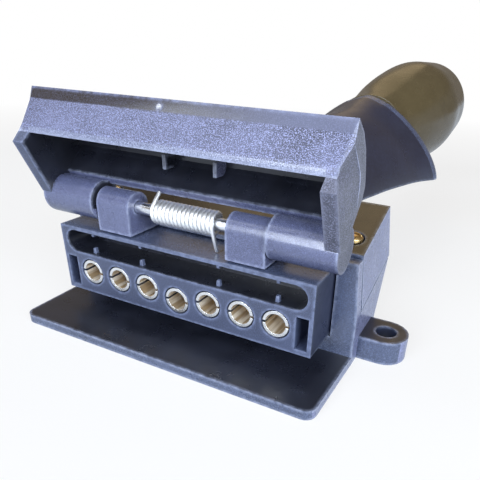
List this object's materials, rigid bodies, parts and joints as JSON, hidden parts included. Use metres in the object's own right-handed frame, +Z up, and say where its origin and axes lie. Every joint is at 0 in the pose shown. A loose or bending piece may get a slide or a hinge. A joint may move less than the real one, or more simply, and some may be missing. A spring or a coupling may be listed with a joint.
{
  "type": "trailer wiring connector",
  "caption": "Trailer wiring adaptor: flat socket with a sprung hinged lid, a tray and screw ears, joined through a flared boot to a round plug.",
  "frame": {"origin": "on the flat underside of the tray, below the middle of the contact face", "axes": "+X across the socket, +Y from the open contact face towards the plug, +Z up"},
  "size_m": [0.0888, 0.1529, 0.0534],
  "materials": {
    "body_plastic": "moulded black plastic, satin",
    "lid_plastic": "moulded black plastic with a fine spark grain",
    "block_plastic": "moulded black plastic, satin",
    "boot_plastic": "smooth black plastic",
    "plug_plastic": "polished black plastic",
    "insulator": "moulded black plastic",
    "nickel": "nickel plate",
    "bright_steel": "bright drawn wire",
    "brass": "turned brass",
    "wire_insulation_1": "smooth insulation",
    "wire_insulation_2": "smooth insulation",
    "wire_insulation_3": "smooth insulation",
    "wire_insulation_4": "smooth insulation",
    "wire_insulation_5": "smooth insulation",
    "wire_insulation_6": "smooth insulation",
    "wire_insulation_7": "smooth insulation"
  },
  "bodies": {
    "socket": {"socket_body": "body_plastic", "contact_block": "block_plastic", "hinge_pin": "bright_steel", "lid_spring": "bright_steel", "rear_cover": "body_plastic", "cover_screw_left": "brass", "cover_screw_right": "brass", "rear_boot": "boot_plastic", "plug_shell": "plug_plastic", "plug_insert": "insulator", "contact_sleeve_1": "nickel", "terminal_screw_1": "brass", "plug_pin_1": "brass", "wire_1": "wire_insulation_1", "contact_sleeve_2": "nickel", "terminal_screw_2": "brass", "plug_pin_2": "brass", "wire_2": "wire_insulation_2", "contact_sleeve_3": "nickel", "terminal_screw_3": "brass", "plug_pin_3": "brass", "wire_3": "wire_insulation_3", "contact_sleeve_4": "nickel", "terminal_screw_4": "brass", "plug_pin_4": "brass", "wire_4": "wire_insulation_4", "contact_sleeve_5": "nickel", "terminal_screw_5": "brass", "plug_pin_5": "brass", "wire_5": "wire_insulation_5", "contact_sleeve_6": "nickel", "terminal_screw_6": "brass", "plug_pin_6": "brass", "wire_6": "wire_insulation_6", "contact_sleeve_7": "nickel", "terminal_screw_7": "brass", "plug_pin_7": "brass", "wire_7": "wire_insulation_7"},
    "lid": {"spring_lid": "lid_plastic"}
  },
  "joints": [
    {"name": "lid_hinge", "type": "hinge", "parent": "socket", "child": "lid", "pos_m": [0, 0.004, 0.0267], "axis": [1, 0, 0], "range_deg": [-30, 137], "deforming": ["lid_spring"]}
  ]
}
